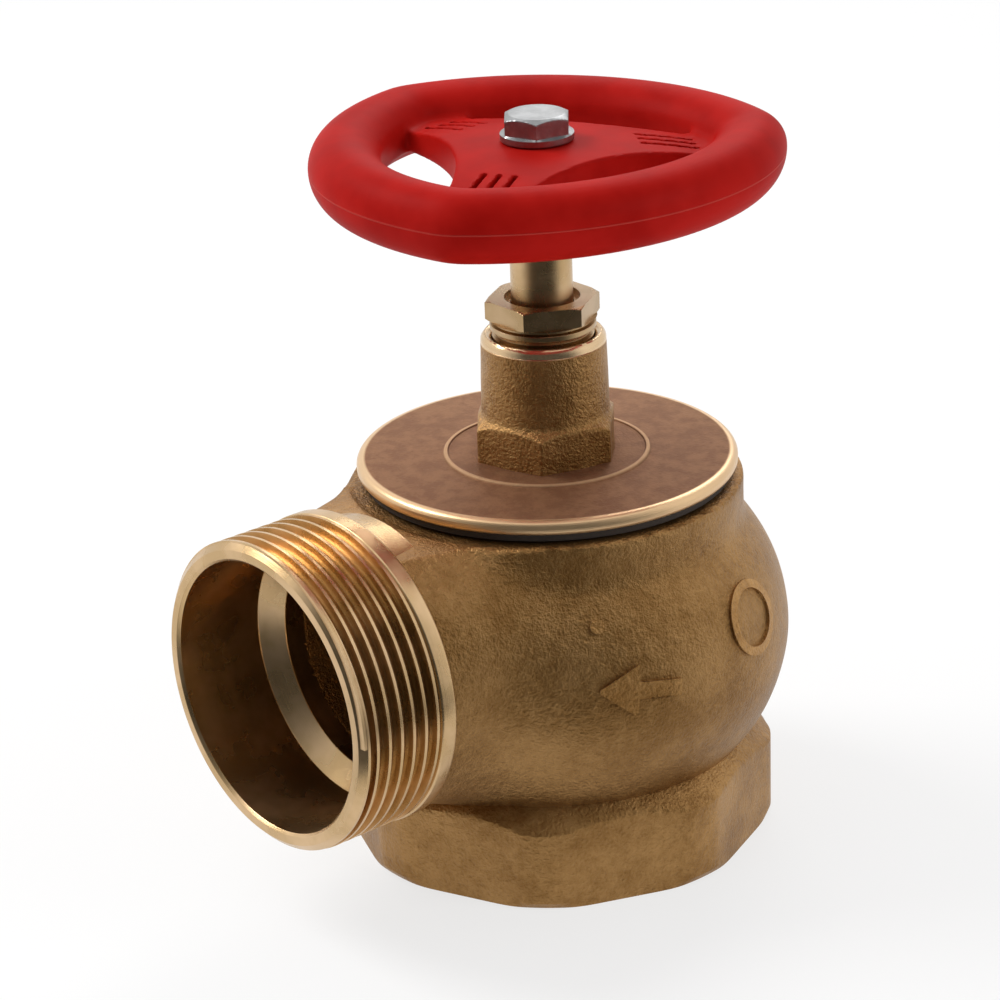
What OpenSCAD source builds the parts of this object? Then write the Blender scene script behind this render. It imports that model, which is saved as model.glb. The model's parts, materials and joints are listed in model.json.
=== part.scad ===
// Angle hose valve, DN 50: threaded inlet socket below, male hose thread at the side,
// rising stem with a three-lobed handwheel. Origin: centre of the inlet's bottom face,
// +Z up along the stem, outlet towards -Y. Drawn closed. Millimetres.

/* [Inlet socket] */
// Distance across the flats of the eight-sided socket
socket_af = 74.5; // [72:0.5:78]
// Diameter that its corners are turned down to
socket_round_d = 78.4; // [77:0.1:82]
// Height of the flats
socket_h = 14.6; // [14:0.1:15.5]
// Root diameter of the pipe thread G 2
thread_root_d = 56.66; // [56:0.01:57]
// Outer diameter of the pipe thread G 2
thread_crest_d = 59.6; // [59:0.01:60]
// Pitch of the pipe thread G 2, eleven turns to the inch
thread_pitch = 2.309; // [2.2:0.001:2.4]

/* [Body] */
// Largest diameter of the bulb
bulb_d = 84.8; // [84:0.1:88]
// Height of the bulb's widest place
bulb_z = 38; // [37:0.1:39]
// Thickness of the cast wall
wall = 4.5; // [3.5:0.1:5]
// Height of the valve seat
seat_z = 25.5; // [25:0.1:25.5]
// Diameter of the waterway through the seat
throat_d = 40; // [36:0.5:42]
// Diameter of the turned collar at the top
collar_d = 69.2; // [68.5:0.1:71]
// Height of the body's top face
body_top = 66.9; // [66.6:0.1:67.2]

/* [Outlet] */
// Height of the outlet's axis
outlet_z = 44; // [43:0.5:45]
// Distance from the stem's axis to the outlet's face
outlet_reach = 64.8; // [63:0.1:68]
// Outer diameter of the hose thread
outlet_crest_d = 54.8; // [54:0.1:56]
// Root diameter of the hose thread
outlet_root_d = 51.6; // [51.4:0.1:52.4]
// Pitch of the hose thread, ten turns to the inch
outlet_pitch = 2.54; // [2.3:0.01:2.6]
// Bore of the outlet
outlet_bore_d = 48; // [44:0.5:50]
// Depth of that bore before it narrows
outlet_bore_len = 17.1; // [15:0.1:18]
// Bore behind the narrowing cone
port_d = 40.3; // [36:0.1:41]

/* [Cover] */
// Diameter of the cover
cover_d = 66.8; // [65:0.1:68]
// Thickness of the cover's edge
cover_edge = 2.6; // [2:0.1:3]
// Distance across the flats of the cover's six-sided boss
boss_af = 23.3; // [22:0.1:26]
// Diameter of the neck
neck_d = 21.9; // [21.5:0.1:23]
// Height of the neck's top
neck_top = 92.9; // [92:0.1:93.5]

/* [Stem] */
// Diameter of the polished stem
stem_d = 10.8; // [10.6:0.05:10.9]
// Outer diameter of the lifting thread
lift_thread_d = 14; // [13:0.05:14.05]
// How far the disc lifts
lift = 14; // [10:0.5:14]
// Across flats of the square that drives the wheel
square_af = 8; // [7:0.1:8]

/* [Gland] */
// Across flats of the gland nut
gland_af = 17.6; // [17:0.1:19]
// Height of the gland nut's six-sided head
gland_h = 4.7; // [4:0.1:6]

/* [Handwheel] */
// Mean radius of the wheel's outline
wheel_r = 40.8; // [40:0.1:43]
// How far the three lobes stand out and the sides pull in
wheel_lobe = 1.8; // [1:0.1:2.5]
// Width of the rim
rim_w = 12.2; // [11:0.1:12.6]
// Height of the rim's lowest line
rim_z = 117.2; // [116.6:0.1:118]
// Height of the rim from its lowest to its highest line
rim_h = 12.2; // [10.8:0.1:12.5]

/* [Wheel bolt] */
// Across flats of the bolt's head
bolt_af = 10.8; // [10:0.1:12]
// Diameter of the bolt's flange
bolt_flange_d = 12.7; // [12.5:0.1:15]

/* [Hidden] */

$fn = 96;
brass_cast = "peru";
brass_bright = "goldenrod";

// Small measures that several pieces share
gap = 0.05;                 // radial play of a piece in its hole
slip = 0.1;                 // radial play of the turning stem
over = 1;                   // how far a cutter runs past a face
crest_land = 0.4;           // flat width of a thread's crest
outlet_crest_y = 1.8;       // distance of the first crest from the outlet's face
inlet_crest_z = 1.15;       // and from the inlet's mouth

// Body
bulb_arc_r = 30.5;
bulb_arc_x = bulb_d / 2 - bulb_arc_r;
shoulder_r = 35;            // crease where the socket's shoulder meets the bulb
shoulder_z = 18.2;
collar_z = 58.8;
floor_z = 22;             // floor of the chamber round the seat
inlet_end = 17.6;             // end of the inlet's threaded hole
cover_bore_d = 60;          // hole that the cover screws into
cover_bore_z = 56.4;
inlet_turns = 7;
outlet_turns = 6;
band_d = 55.2;                // smooth band behind the outlet's thread
band_near = 16.6;             // its distances from the outlet's face
band_far = 19.6;
outlet_neck_d = [53, 58];     // the cast neck behind the band, and where it meets the bulb
port_y = 37.2;              // distance from the stem's axis where the full port ends
inner_port_y = [port_y + 1, 23];

// Cover
gasket_h = 1.2;
cover_z = body_top + gasket_h;
cover_top = cover_z + cover_edge;
plateau_d = 35.9;
plateau_z = 72;
boss_top = 77.7;
spigot_z = 57.3;
spigot_bore_d = 53;
web_z = 64.8;
lift_nut_d = 24;
lift_nut_top = 77.5;
packing_z = 79;             // floor of the packing chamber
packing_d = 16;
gland_bore_d = 18;
gland_bore_z = 88.5;

// Gland
packing_washer_h = 1;
packing_h = 2;
follower_z = packing_z + packing_washer_h + 3 * packing_h;
follower_top = 90;
gland_z = 95.8;               // underside of the gland nut's head
o_ring_z = 93;
o_ring_wire = 2.1;

// Disc and its holder
seal_gap = 0.3;             // the rubber is drawn just clear of the seat
seal_h = 4.3;
seal_d = 45;
holder_d = 49;
holder_z = seat_z + seal_gap + seal_h;
holder_plate_h = 3.9;
holder_boss_d = 21;
holder_top = 39.9;
lift_nut_z = holder_top + lift + 0.6; // lower end of the threaded boss inside the cover
socket_d = 15.2;            // hole in the holder that takes the stem's end
socket_z = 32.1;
stud_d = 8;
stud_z = 18;
seal_washer_h = 1.4;
seal_nut_h = 5;
seal_nut_af = 13;
clip_wire = 2;
clip_z = 37;
clip_x = 6;
thrust_h = 1;

// Stem
stem_end_z = socket_z + thrust_h + slip;
stem_button_d = 14.8;
groove_z = [35.8, 38.2];
groove_d = 9.8;
journal_top = 40.1;
lift_thread_top = 63.2;
square_z = 116.9;
stem_top = 125.4;
bolt_hole_z = 111;

// Handwheel
wheel_angle = -1;           // direction of the first window in the drawn position
rim_crest_in = 6;           // from the outline inwards to the rim's highest line
rim_crest_h = 0.48;         // part of the rim's height above the parting line
rim_steps = 72;
rim_points = 16;
plate_z = [120.6, 124.9];   // underside, and the upper face next to the rim
hub_d = 24.6;
hub_z = 116.5;
hub_top = 127.3;
hub_cap = 1.7;              // plastic left over the square bush
dome_r = 25;                // the upper face falls from the hub to here
window_arc_r = 46;
window_in = 14.4;           // distance of a window's inner edge from the axis
slot_w = 0.9;
slot_depth = 1.5;
slot_r = [17.3, 27.5];
slot_step = 2.7;

// Wheel bolt
bolt_d = 6;
bolt_len = 15;
bolt_flange_h = 1.2;
bolt_head_h = 3.5;

// Wheel outline and rim section, all in the wheel's plane
function wheel_out(a) = wheel_r + wheel_lobe * cos(3 * (a - wheel_angle - 60));
function wheel_line(inset) =
    [for (i = [0 : rim_steps - 1])
        let (a = i * 360 / rim_steps, r = wheel_out(a) - inset) [r * cos(a), r * sin(a)]];
function rim_point(a, t) =
    let (half_w = cos(t) > 0 ? rim_crest_in : rim_w - rim_crest_in,
         half_h = rim_h * (sin(t) > 0 ? rim_crest_h : 1 - rim_crest_h),
         r = wheel_out(a) - rim_crest_in + half_w * cos(t),
         z = rim_z + rim_h * (1 - rim_crest_h) + half_h * sin(t))
    [r * cos(a), r * sin(a), z];

// Ring ridges of a thread: points from the mouth inwards, as [radius, distance]
function ridges(first, pitch, count, low, high) =
    [for (i = [0 : count - 1])
        let (c = first + i * pitch)
        each concat(i == 0 ? [] : [[low, c - pitch / 2 + 0.1]],
                    [[high, c - crest_land / 2], [high, c + crest_land / 2],
                     [low, c + pitch / 2 - 0.1]])];

module ring(outer_d, inner_d, z, h) {
    translate([0, 0, z])
        difference() {
            cylinder(d = outer_d, h = h);
            translate([0, 0, -over]) cylinder(d = inner_d, h = h + 2 * over);
        }
}

module hex(af, z, h, turn) {
    translate([0, 0, z]) rotate([0, 0, turn])
        cylinder(d = af / cos(30), h = h, $fn = 6);
}

// Six-sided prism whose upper corners are turned off
module chamfered_hex(af, z, h, turn) {
    intersection() {
        hex(af, z, h, turn);
        translate([0, 0, z]) rotate_extrude()
            polygon([[0, 0], [af, 0], [af / 2 + h, 0], [af / 2 + 0.1, h], [0, h]]);
    }
}

// Turns a profile drawn as [radius, distance from the face] into the outlet's place
module at_outlet() {
    translate([0, -outlet_reach, outlet_z]) rotate([-90, 0, 0]) rotate_extrude() children();
}

module socket_outside() {
    round_r = socket_round_d / 2;
    intersection() {
        cylinder(d = socket_af / cos(22.5), h = shoulder_z + over, $fn = 8);
        rotate_extrude()
            polygon([[0, 0], [round_r - 2, 0], [round_r, 1.6], [round_r, socket_h],
                     [shoulder_r, shoulder_z], [shoulder_r, shoulder_z + over],
                     [0, shoulder_z + over]]);
    }
}

module bulb_outside() {
    rotate_extrude() {
        intersection() {
            translate([bulb_arc_x, bulb_z]) circle(r = bulb_arc_r);
            translate([0, shoulder_z - over]) square([bulb_d, collar_z + over - shoulder_z + over]);
        }
        translate([0, collar_z]) square([collar_d / 2, body_top - collar_z]);
    }
}

// The outlet's neck stands higher than the collar, so the cover's seat is turned out of it
module outlet_outside() {
    face_r = outlet_bore_d / 2 + 2;
    root_r = outlet_root_d / 2;
    difference() {
        at_outlet()
            polygon(concat([[0, 0], [face_r, 0]],
                           ridges(outlet_crest_y, outlet_pitch, outlet_turns, root_r,
                                  outlet_crest_d / 2),
                           [[root_r, band_near], [band_d / 2, band_near + 0.3],
                            [band_d / 2, band_far - 0.3],
                            [outlet_neck_d[0] / 2, band_far + 0.4],
                            [outlet_neck_d[1] / 2, outlet_reach - 30], [0, outlet_reach - 30]]));
        translate([0, 0, body_top - 0.4]) cylinder(d = collar_d + 1.2, h = outlet_neck_d[1]);
    }
}

module inlet_hole() {
    root_r = thread_root_d / 2;
    crest_r = thread_crest_d / 2;
    rotate_extrude()
        polygon(concat([[0, -over], [crest_r + 0.6, -over], [crest_r + 0.6, 0]],
                       ridges(inlet_crest_z, thread_pitch, inlet_turns, crest_r, root_r),
                       [[crest_r + 0.2, inlet_end - 1], [crest_r + 0.2, inlet_end],
                        [0, inlet_end]]));
}

module chamber() {
    rotate_extrude() {
        intersection() {
            translate([bulb_arc_x, bulb_z]) circle(r = bulb_arc_r - wall);
            translate([0, floor_z]) square([bulb_d, cover_bore_z + over - floor_z]);
        }
    }
    translate([0, 0, cover_bore_z]) cylinder(d = cover_bore_d, h = body_top);
}

module outlet_hole() {
    cone_r = (outlet_bore_d - port_d) / 2;
    at_outlet()
        polygon([[0, -over], [outlet_bore_d / 2, -over], [outlet_bore_d / 2, outlet_bore_len],
                 [port_d / 2, outlet_bore_len + cone_r * 0.8],
                 [port_d / 2, outlet_reach - port_y], [0, outlet_reach - port_y]]);
    // Further in, the port stays below the cover's thread
    intersection() {
        translate([0, -inner_port_y[1], outlet_z]) rotate([90, 0, 0])
            cylinder(d = port_d - 1, h = inner_port_y[0] - inner_port_y[1]);
        translate([-port_d, -2 * port_d, 0]) cube([2 * port_d, 2 * port_d, cover_bore_z - 1]);
    }
}

module valve_body() {
    seat_r = throat_d / 2 + 4.5;
    color(brass_cast) difference() {
        union() {
            difference() {
                union() {
                    socket_outside();
                    bulb_outside();
                    outlet_outside();
                }
                chamber();
                outlet_hole();
            }
            rotate_extrude()
                polygon([[throat_d / 2 - 0.5, floor_z - over], [seat_r, floor_z - over],
                         [seat_r, seat_z - 1], [seat_r - 1.5, seat_z], [throat_d / 2 - 0.5, seat_z]]);
        }
        inlet_hole();
        translate([0, 0, inlet_end - over]) cylinder(d = throat_d, h = seat_z);
    }
}

module bonnet() {
    edge_r = cover_edge / 2;
    color(brass_cast) difference() {
        union() {
            rotate_extrude() {
                translate([0, cover_z]) square([cover_d / 2 - edge_r, cover_edge]);
                translate([cover_d / 2 - edge_r, cover_z + edge_r]) circle(r = edge_r);
                polygon([[0, cover_top - over], [plateau_d / 2 + 1, cover_top - over],
                         [plateau_d / 2 + 0.7, cover_top], [plateau_d / 2, plateau_z], [0, plateau_z]]);
                polygon([[0, plateau_z], [neck_d / 2 + 0.35, plateau_z], [neck_d / 2, neck_top - 1.5],
                         [neck_d / 2 - 0.8, neck_top], [0, neck_top]]);
                translate([0, spigot_z]) square([cover_bore_d / 2 - gap, cover_z - spigot_z + over]);
            }
            chamfered_hex(boss_af, plateau_z - over, boss_top - plateau_z + over, -45);
        }
        difference() {
            translate([0, 0, spigot_z - over]) cylinder(d = spigot_bore_d, h = web_z - spigot_z + over);
            translate([0, 0, spigot_z - 2 * over]) cylinder(d = lift_nut_d, h = body_top);
        }
        translate([0, 0, spigot_z - over])
            cylinder(d = lift_thread_d + 2 * gap, h = lift_nut_top - spigot_z + over);
        cylinder(d = stem_d + 2 * slip, h = 200);
        translate([0, 0, packing_z]) cylinder(d = packing_d, h = neck_top);
        translate([0, 0, gland_bore_z]) cylinder(d = gland_bore_d, h = neck_top);
    }
    color(brass_cast) ring(lift_nut_d, lift_thread_d + 2 * gap, lift_nut_z, spigot_z - lift_nut_z + 2);
}

module bonnet_gasket() {
    color("dimgray") ring(collar_d - 4.2, cover_bore_d + 0.2, body_top, gasket_h);
}

module gland_nut() {
    color(brass_bright) difference() {
        union() {
            chamfered_hex(gland_af, gland_z, gland_h, 0);
            translate([0, 0, follower_top])
                cylinder(d = gland_bore_d - 2 * gap, h = gland_z - follower_top);
        }
        translate([0, 0, follower_top - over]) cylinder(d = stem_d + 2 * slip, h = 20);
        translate([0, 0, gland_z + gland_h - 1]) cylinder(d = stem_d + 2, h = 2);
        translate([0, 0, o_ring_z - o_ring_wire / 2 - 0.1])
            cylinder(d = stem_d + 2 * slip + 2 * o_ring_wire, h = o_ring_wire + 0.2);
    }
}

module gland_follower() {
    color(brass_bright) difference() {
        union() {
            translate([0, 0, follower_z])
                cylinder(d = packing_d - 2 * slip, h = follower_top - follower_z);
            translate([0, 0, gland_bore_z + 0.2])
                cylinder(d = gland_bore_d - 0.5, h = follower_top - gland_bore_z - 0.2);
        }
        translate([0, 0, follower_z - over]) cylinder(d = stem_d + 2 * slip, h = 10);
    }
}

module stem_o_ring() {
    color("black") translate([0, 0, o_ring_z]) rotate_extrude()
        translate([(stem_d + o_ring_wire) / 2 + slip, 0]) circle(d = o_ring_wire);
}

module packing_ring(i) {
    color("whitesmoke")
        ring(packing_d - 2 * gap, stem_d + 2 * gap,
             packing_z + packing_washer_h + i * packing_h, packing_h);
}

module packing_ring_1() { packing_ring(0); }
module packing_ring_2() { packing_ring(1); }
module packing_ring_3() { packing_ring(2); }

module packing_washer() {
    color(brass_bright) ring(packing_d - 2 * slip, stem_d + 2 * slip, packing_z, packing_washer_h);
}

module disc_holder() {
    color(brass_bright) difference() {
        union() {
            translate([0, 0, holder_z]) cylinder(d = holder_d, h = holder_plate_h);
            ring(holder_d, seal_d + 0.2, holder_z - 2.6, 2.6 + over);
            translate([0, 0, holder_z]) cylinder(d = holder_boss_d, h = holder_top - holder_z);
            translate([0, 0, stud_z]) cylinder(d = stud_d, h = holder_z - stud_z + over);
        }
        translate([0, 0, socket_z]) cylinder(d = socket_d, h = 20);
        for (x = [-clip_x, clip_x])
            translate([x, 20, clip_z]) rotate([90, 0, 0]) cylinder(d = clip_wire + 2 * gap, h = 40);
    }
}

module disc_seal() {
    color("black") ring(seal_d, stud_d + 0.2, seat_z + seal_gap, seal_h);
}

module seal_washer() {
    color("silver") ring(26, stud_d + 0.2, seat_z + seal_gap - seal_washer_h, seal_washer_h);
}

module seal_nut() {
    nut_z = seat_z + seal_gap - seal_washer_h - seal_nut_h;
    color("silver") difference() {
        hex(seal_nut_af, nut_z, seal_nut_h, 0);
        translate([0, 0, nut_z - over]) cylinder(d = stud_d + 2 * gap, h = 10);
    }
}

module stem_clip() {
    back_y = holder_boss_d / 2 + clip_wire / 2 + slip;
    color("silver") {
        for (x = [-clip_x, clip_x])
            translate([x, back_y, clip_z]) rotate([90, 0, 0]) cylinder(d = clip_wire, h = back_y + 9.5);
        for (x = [-clip_x, clip_x]) translate([x, back_y, clip_z]) sphere(d = clip_wire);
        translate([-clip_x, back_y, clip_z]) rotate([0, 90, 0]) cylinder(d = clip_wire, h = 2 * clip_x);
    }
}

module thrust_washer() {
    color(brass_bright) translate([0, 0, socket_z]) cylinder(d = socket_d - 1, h = thrust_h);
}

module stem() {
    color(brass_bright) difference() {
        union() {
            rotate_extrude()
                polygon([[0, stem_end_z], [stem_button_d / 2 - 0.8, stem_end_z],
                         [stem_button_d / 2, stem_end_z + 0.8], [stem_button_d / 2, groove_z[0]],
                         [groove_d / 2, groove_z[0]], [groove_d / 2, groove_z[1]],
                         [stem_button_d / 2, groove_z[1]], [stem_button_d / 2, journal_top],
                         [lift_thread_d / 2, journal_top], [lift_thread_d / 2, lift_thread_top - 1],
                         [stem_d / 2, lift_thread_top], [stem_d / 2, square_z], [0, square_z]]);
            intersection() {
                translate([0, 0, square_z - over]) cylinder(d = stem_d, h = stem_top - square_z + over);
                translate([-square_af / 2, -square_af / 2, square_z - over])
                    cube([square_af, square_af, stem_top - square_z + over]);
            }
        }
        translate([0, 0, bolt_hole_z]) cylinder(d = bolt_d, h = 20);
    }
}

module wheel_rim() {
    count = rim_steps * rim_points;
    points = [for (i = [0 : rim_steps - 1]) for (j = [0 : rim_points - 1])
                 rim_point(i * 360 / rim_steps, j * 360 / rim_points)];
    faces = [for (i = [0 : rim_steps - 1]) for (j = [0 : rim_points - 1])
                let (next_j = (j + 1) % rim_points, next_i = (i + 1) % rim_steps)
                [i * rim_points + j, next_i * rim_points + j,
                 next_i * rim_points + next_j, i * rim_points + next_j]];
    polyhedron(points, [for (f = faces) [f[3], f[2], f[1], f[0]]], convexity = 6);
}

module wheel_plate() {
    intersection() {
        translate([0, 0, plate_z[0]]) linear_extrude(hub_top - plate_z[0]) polygon(wheel_line(rim_w - 1.5));
        rotate_extrude()
            polygon([[0, plate_z[0]], [wheel_r, plate_z[0]], [wheel_r, plate_z[1]], [dome_r, plate_z[1]],
                     [hub_d / 2, hub_top], [0, hub_top]]);
    }
}

module wheel_windows() {
    for (a = [0, 120, 240])
        translate([0, 0, plate_z[0] - over]) linear_extrude(20) intersection() {
            polygon(wheel_line(rim_w - 0.2));
            rotate([0, 0, wheel_angle + a]) translate([window_in + window_arc_r, 0])
                circle(r = window_arc_r);
        }
}

module handwheel() {
    slot_len = slot_r[1] - slot_r[0];
    color("firebrick") difference() {
        union() {
            wheel_rim();
            difference() {
                wheel_plate();
                wheel_windows();
                for (a = [60, 180, 300], k = [-1, 0, 1])
                    rotate([0, 0, wheel_angle + a])
                        translate([slot_r[0], k * slot_step - slot_w / 2, plate_z[1] - slot_depth])
                            cube([slot_len, slot_w, 10]);
            }
            translate([0, 0, hub_z]) cylinder(d = hub_d, h = plate_z[0] - hub_z + over);
        }
        translate([0, 0, hub_z - over]) cylinder(d = 15, h = hub_top - hub_cap - hub_z + over);
        cylinder(d = bolt_d + 0.6, h = 200);
    }
}

module wheel_insert() {
    color("silver") translate([0, 0, square_z]) difference() {
        cylinder(d = 15, h = hub_top - hub_cap - square_z);
        translate([-square_af / 2 - gap, -square_af / 2 - gap, -over])
            cube([square_af + 2 * gap, square_af + 2 * gap, 20]);
    }
}

module wheel_bolt() {
    color("silver") {
        translate([0, 0, hub_top]) cylinder(d = bolt_flange_d, h = bolt_flange_h);
        chamfered_hex(bolt_af, hub_top + bolt_flange_h - 0.2, bolt_head_h + 0.2, -42);
        translate([0, 0, hub_top - bolt_len]) cylinder(d = bolt_d - 2 * gap, h = bolt_len + 0.5);
    }
}

valve_body();
bonnet();
bonnet_gasket();
gland_nut();
gland_follower();
stem_o_ring();
packing_ring_1();
packing_ring_2();
packing_ring_3();
packing_washer();
disc_holder();
disc_seal();
seal_washer();
seal_nut();
stem_clip();
thrust_washer();
stem();
handwheel();
wheel_insert();
wheel_bolt();
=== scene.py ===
import json
import math

import bmesh
import bpy
import numpy as np
import openvdb
from mathutils import Matrix, Vector
from mathutils.bvhtree import BVHTree


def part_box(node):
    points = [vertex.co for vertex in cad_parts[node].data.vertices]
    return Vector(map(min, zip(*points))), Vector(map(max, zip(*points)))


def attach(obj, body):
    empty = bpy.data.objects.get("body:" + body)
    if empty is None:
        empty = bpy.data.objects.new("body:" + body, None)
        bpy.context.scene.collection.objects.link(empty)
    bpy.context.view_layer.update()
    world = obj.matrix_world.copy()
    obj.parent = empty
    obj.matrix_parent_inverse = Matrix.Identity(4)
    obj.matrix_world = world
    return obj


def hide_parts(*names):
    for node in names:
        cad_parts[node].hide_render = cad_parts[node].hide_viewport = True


# Studio: an angle hose valve for a fire hydrant, photographed closed and upright on white.
# The camera stands at the photograph's height and distance and needs no shift; the points
# are where the photograph shows the valve's own edges and marks.
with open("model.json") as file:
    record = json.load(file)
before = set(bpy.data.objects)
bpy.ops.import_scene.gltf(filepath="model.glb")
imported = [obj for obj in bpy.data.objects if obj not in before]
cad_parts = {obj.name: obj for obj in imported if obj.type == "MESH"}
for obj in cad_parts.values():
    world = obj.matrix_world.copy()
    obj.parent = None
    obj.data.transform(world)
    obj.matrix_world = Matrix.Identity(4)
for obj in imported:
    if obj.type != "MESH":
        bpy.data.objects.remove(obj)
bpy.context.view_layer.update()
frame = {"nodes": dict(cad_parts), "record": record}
scene = bpy.context.scene
scene.view_settings.view_transform = "Standard"

IMAGE_SIZE = 1000
points = {
    "object_left": (169, None),
    "object_right": (789, None),
    "object_top": (None, 74),
    "object_bottom": (None, 910),
    "wheel_left": (305, None),
    "wheel_right": (787, None),
    "bolt_top": (None, 104),
    "gland_nut_left": (483, None),
    "gland_nut_right": (600, None),
    "cover_left": (358, None),
    "cover_right": (741, None),
    "outlet_right": (458, None),
    "outlet_bottom": (None, 851),
    "flow_arrow": (642, 690),
    "ring_mark": (753, 617),
    "dot_mark": (597, 627),
}

LENS_PX = 3200
SENSOR = 36.0
AIM = Vector((-0.0086, 0.0, 0.0613))
DISTANCE = 0.5682
ELEVATION = math.radians(22.40)
ROLL = math.radians(-2.16)
AZIMUTH = math.radians(50.11)

turn = Matrix.Rotation(AZIMUTH, 3, "Z")
forward = turn @ Vector((0, math.cos(ELEVATION), -math.sin(ELEVATION)))
level_right = turn @ Vector((1, 0, 0))
level_up = level_right.cross(forward)
view_right = level_right * math.cos(ROLL) + level_up * math.sin(ROLL)
view_up = level_up * math.cos(ROLL) - level_right * math.sin(ROLL)
eye = turn @ AIM - forward * DISTANCE

camera_data = bpy.data.cameras.new("photo_camera")
camera_data.sensor_fit = "AUTO"
camera_data.sensor_width = SENSOR
camera_data.lens = LENS_PX / IMAGE_SIZE * SENSOR
camera_data.clip_start = 0.01
camera = bpy.data.objects.new("photo_camera", camera_data)
axes = Matrix((view_right, view_up, -forward)).transposed().to_4x4()
camera.matrix_world = Matrix.Translation(eye) @ axes
scene.collection.objects.link(camera)
scene.camera = camera

LAMP_AIM = Vector((0, 0, 0.06))


def stage_lamp(name, place, size, watts):
    """A soft round lamp turned to the middle of the valve; place and size are in metres."""
    lamp = bpy.data.lights.new(name, "AREA")
    lamp.shape = "DISK"
    lamp.size = size
    lamp.energy = watts
    holder = bpy.data.objects.new(name, lamp)
    aimed = (LAMP_AIM - Vector(place)).to_track_quat("-Z", "Y").to_matrix().to_4x4()
    holder.matrix_world = Matrix.Translation(place) @ aimed
    scene.collection.objects.link(holder)


class Wire:
    """A value flowing through a material or world, so that its sums read as sums."""

    def __init__(self, tree, socket):
        self.tree, self.socket = tree, socket

    def join(self, target):
        self.tree.links.new(self.socket, target)

    def maths(self, operation, *others, flip=False):
        step = self.tree.nodes.new("ShaderNodeMath")
        step.operation = operation
        parts = [self, *others]
        if flip:
            parts.reverse()
        for socket, part in zip(step.inputs, parts):
            if isinstance(part, Wire):
                part.join(socket)
            else:
                socket.default_value = part
        return Wire(self.tree, step.outputs[0])

    def __add__(self, other):
        return self.maths("ADD", other)

    def __sub__(self, other):
        return self.maths("SUBTRACT", other)

    def __rsub__(self, other):
        return self.maths("SUBTRACT", other, flip=True)

    def __mul__(self, other):
        return self.maths("MULTIPLY", other)

    def __pow__(self, other):
        return self.maths("POWER", other)

    __radd__ = __add__
    __rmul__ = __mul__

    def between(self, low, high):
        """0 below low and 1 above high, with a soft step."""
        step = self.tree.nodes.new("ShaderNodeMapRange")
        step.interpolation_type = "SMOOTHSTEP"
        self.join(step.inputs["Value"])
        step.inputs["From Min"].default_value = low
        step.inputs["From Max"].default_value = high
        return Wire(self.tree, step.outputs["Result"])


class Finish:
    """One material, or the world, as it is put together from nodes."""

    def __init__(self, name, owner=None):
        self.owner = owner or bpy.data.materials.new(name)
        self.owner.use_nodes = True
        self.tree = self.owner.node_tree
        self.tree.nodes.clear()

    def node(self, kind, settings=None, values=None, output=0):
        """Adds a node: its settings first, then the values or wires of its sockets."""
        made = self.tree.nodes.new(kind)
        for key, value in (settings or {}).items():
            setattr(made, key, value)
        for key, value in (values or {}).items():
            if isinstance(value, Wire):
                value.join(made.inputs[key])
            else:
                made.inputs[key].default_value = value
        return Wire(self.tree, made.outputs[output])

    def where(self):
        return self.node("ShaderNodeTexCoord", output="Object")

    def parts(self, place):
        split = self.tree.nodes.new("ShaderNodeSeparateXYZ")
        place.join(split.inputs[0])
        return [Wire(self.tree, socket) for socket in split.outputs]

    def noise(self, place, size, detail=2.0, rough=0.5):
        """Noise whose lumps are about size metres across."""
        return self.node("ShaderNodeTexNoise", {"noise_dimensions": "3D"},
                         {"Vector": place, "Scale": 1 / size, "Detail": detail, "Roughness": rough})

    def tool_rings(self, across, along, size):
        """Noise that is alike all round an axis, as the marks of a lathe's tool are."""
        return self.noise(self.node("ShaderNodeCombineXYZ", {}, {0: across, 1: along}), size, 2, 0.6)

    def mixed(self, share, first, second):
        made = self.tree.nodes.new("ShaderNodeMix")
        made.data_type = "RGBA"
        for index, value in ((0, share), (6, first), (7, second)):
            if isinstance(value, Wire):
                value.join(made.inputs[index])
            else:
                made.inputs[index].default_value = value if index == 0 else (*value, 1)
        return Wire(self.tree, made.outputs[2])

    def raised(self, height, depth):
        """Normal of a surface whose height field is so many metres deep."""
        return self.node("ShaderNodeBump", {}, {"Height": height, "Strength": 1.0, "Distance": depth})

    def ends_in(self, shader, output="ShaderNodeOutputMaterial"):
        shader.join(self.tree.nodes.new(output).inputs["Surface"])
        return self.owner

    def surface(self, **values):
        """Ends the material in a Principled shader; names are the sockets' with _ for a space."""
        sockets = {key.replace("_", " "): value for key, value in values.items()}
        return self.ends_in(self.node("ShaderNodeBsdfPrincipled", {}, sockets))


def seen_or_mirrored(finish):
    """1 for what the camera, a mirror-like surface or glass shows, 0 for light on the object."""
    ray = finish.tree.nodes.new("ShaderNodeLightPath")
    camera_ray, glossy, through = [Wire(finish.tree, ray.outputs[name]) for name in
                                   ("Is Camera Ray", "Is Glossy Ray", "Is Transmission Ray")]
    return camera_ray.maths("MAXIMUM", glossy).maths("MAXIMUM", through)


FRONT = -Vector((forward.x, forward.y, 0)).normalized()
KEY_SIDE = (-0.75, -0.45, 0.49)
wall_light, key_light, front_shade = 0.30, 0.5, 0.75
world = Finish("studio_world", bpy.data.worlds.new("studio_world"))
scene.world = world.owner
sky = world.node("ShaderNodeTexCoord", output="Generated")
toward_key, toward_front = [
    world.node("ShaderNodeVectorMath", {"operation": "DOT_PRODUCT"}, {0: sky, 1: way}, output="Value")
    for way in (KEY_SIDE, FRONT)]
soft_walls = wall_light + key_light * toward_key.between(-0.2, 0.9)
soft_walls = soft_walls * (1 - front_shade * toward_front.between(0.1, 0.9))
brightness = soft_walls.maths("MAXIMUM", seen_or_mirrored(world))
WHITE = (1, 1, 1, 1)
world.ends_in(world.node("ShaderNodeBackground", {}, {"Color": WHITE, "Strength": brightness}),
              "ShaderNodeOutputWorld")

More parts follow.
